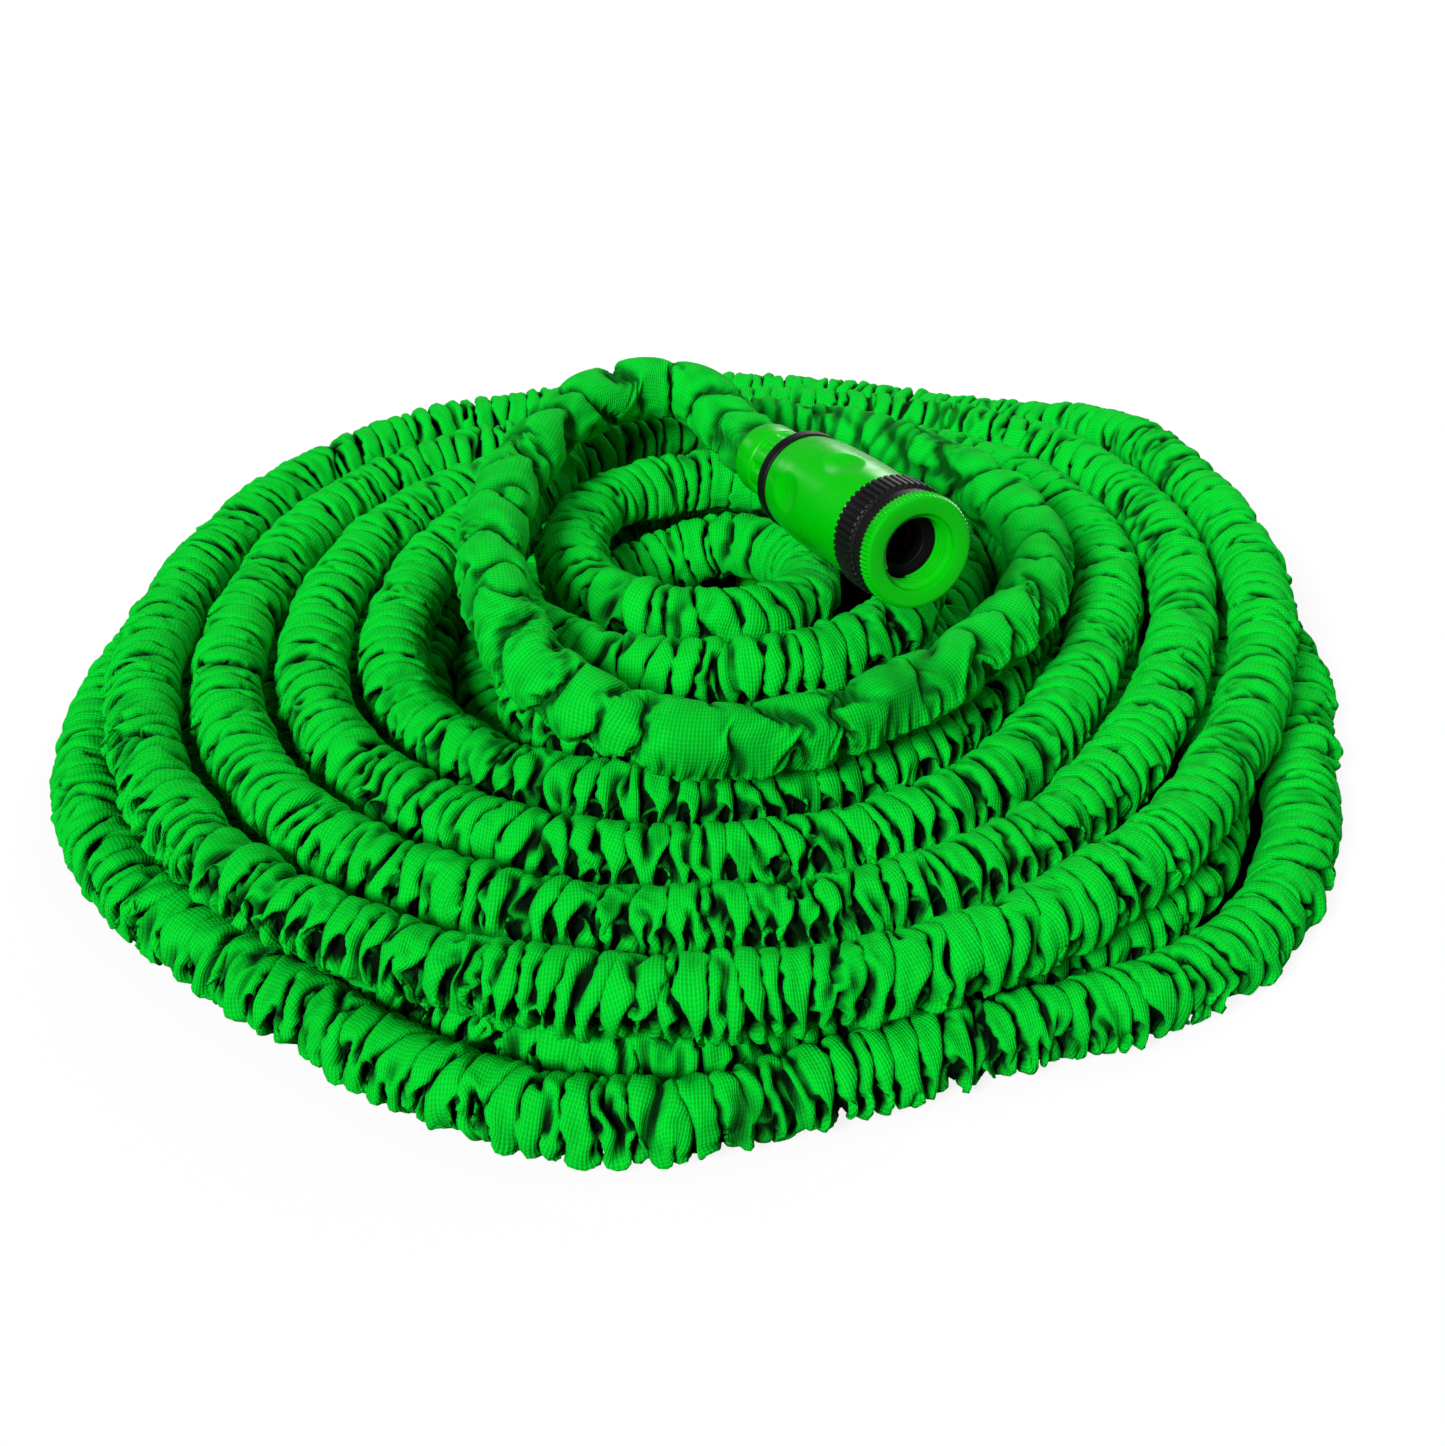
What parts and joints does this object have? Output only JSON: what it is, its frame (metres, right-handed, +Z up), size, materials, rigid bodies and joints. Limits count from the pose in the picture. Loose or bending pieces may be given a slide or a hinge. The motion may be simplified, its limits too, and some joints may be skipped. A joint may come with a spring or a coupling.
{
  "type": "expandable garden hose",
  "caption": "Contracting fabric-sleeved garden hose laid in a pile of loops, with snap connectors and a screw-in tap adaptor.",
  "frame": {"origin": "floor level, under the middle of the pile's bounding box", "axes": "+Z up, -Y towards the viewer, +X to the viewer's right"},
  "size_m": [0.3858, 0.4043, 0.1062],
  "materials": {
    "sleeve_fabric": "matte bunched woven polyester",
    "green_plastic": "gloss",
    "black_plastic": "satin",
    "white_plastic": "satin",
    "black_rubber": "matte",
    "latex": "matte"
  },
  "bodies": {
    "hose": {"hose_coil": "sleeve_fabric", "hose_lead": "sleeve_fabric", "hose_tail": "sleeve_fabric", "inner_tube_tap_end": "latex", "inner_tube_far_end": "latex", "nut_tap_end": "green_plastic", "grip_ring_tap_end": "white_plastic", "core_tap_end": "black_plastic", "nut_far_end": "green_plastic", "grip_ring_far_end": "white_plastic", "core_far_end": "black_plastic"},
    "tap_release": {"release_sleeve_tap_end": "green_plastic", "trim_ring_tap_end": "black_plastic"},
    "far_release": {"release_sleeve_far_end": "green_plastic", "trim_ring_far_end": "black_plastic"},
    "adaptor": {"adaptor": "black_plastic", "adaptor_o_ring": "black_rubber", "adaptor_washer": "black_rubber"},
    "reducer_washer": {"reducer_washer": "black_rubber"},
    "reducer": {"reducer": "green_plastic"},
    "tap_pawl_a": {"pawl_a_tap_end": "white_plastic"},
    "far_pawl_a": {"pawl_a_far_end": "white_plastic"},
    "tap_pawl_b": {"pawl_b_tap_end": "white_plastic"},
    "far_pawl_b": {"pawl_b_far_end": "white_plastic"},
    "tap_pawl_c": {"pawl_c_tap_end": "white_plastic"},
    "far_pawl_c": {"pawl_c_far_end": "white_plastic"}
  },
  "joints": [
    {"name": "tap_release_slide", "type": "slide", "parent": "hose", "child": "tap_release", "axis": [-0.3992, 0.9009, -0.1702], "range_m": [0, 0.0045], "stiffness_N_per_m": 900, "springref_m": -0.003},
    {"name": "far_release_slide", "type": "slide", "parent": "hose", "child": "far_release", "axis": [0, -1, 0], "range_m": [0, 0.0045], "stiffness_N_per_m": 900, "springref_m": -0.003},
    {"name": "tap_pawl_a_slide", "type": "slide", "parent": "hose", "child": "tap_pawl_a", "axis": [0.069, -0.1556, -0.9854], "range_m": [0, 0.00161]},
    {"name": "far_pawl_a_slide", "type": "slide", "parent": "hose", "child": "far_pawl_a", "axis": [1, 0, 0], "range_m": [0, 0.00161]},
    {"name": "tap_pawl_b_slide", "type": "slide", "parent": "hose", "child": "tap_pawl_b", "axis": [0.7573, 0.4287, 0.4927], "range_m": [0, 0.00161]},
    {"name": "far_pawl_b_slide", "type": "slide", "parent": "hose", "child": "far_pawl_b", "axis": [-0.5, 0, -0.866], "range_m": [0, 0.00161]},
    {"name": "tap_pawl_c_slide", "type": "slide", "parent": "hose", "child": "tap_pawl_c", "axis": [-0.8262, -0.2731, 0.4927], "range_m": [0, 0.00161]},
    {"name": "far_pawl_c_slide", "type": "slide", "parent": "hose", "child": "far_pawl_c", "axis": [-0.5, 0, 0.866], "range_m": [0, 0.00161]},
    {"name": "adaptor_swivel", "type": "hinge", "parent": "hose", "child": "adaptor", "pos_m": [0.04577, -0.04284, 0.08571], "axis": [0.3992, -0.9009, 0.1702], "continuous": true},
    {"name": "reducer_travel", "type": "slide", "parent": "adaptor", "child": "reducer_washer", "axis": [0.3992, -0.9009, 0.1702], "range_m": [0, 0.00725]},
    {"name": "reducer_turn", "type": "hinge", "parent": "reducer_washer", "child": "reducer", "pos_m": [0.05375, -0.06085, 0.08911], "axis": [0.3992, -0.9009, 0.1702], "range_deg": [0, 1440]}
  ],
  "couplings": [
    {"joint": "tap_pawl_a_slide", "follows": "tap_release_slide", "ratio": 0.35556},
    {"joint": "far_pawl_a_slide", "follows": "far_release_slide", "ratio": 0.35556},
    {"joint": "tap_pawl_b_slide", "follows": "tap_release_slide", "ratio": 0.35556},
    {"joint": "far_pawl_b_slide", "follows": "far_release_slide", "ratio": 0.35556},
    {"joint": "tap_pawl_c_slide", "follows": "tap_release_slide", "ratio": 0.35556},
    {"joint": "far_pawl_c_slide", "follows": "far_release_slide", "ratio": 0.35556},
    {"joint": "reducer_turn", "follows": "reducer_travel", "rad_per_m": 3463.7}
  ]
}
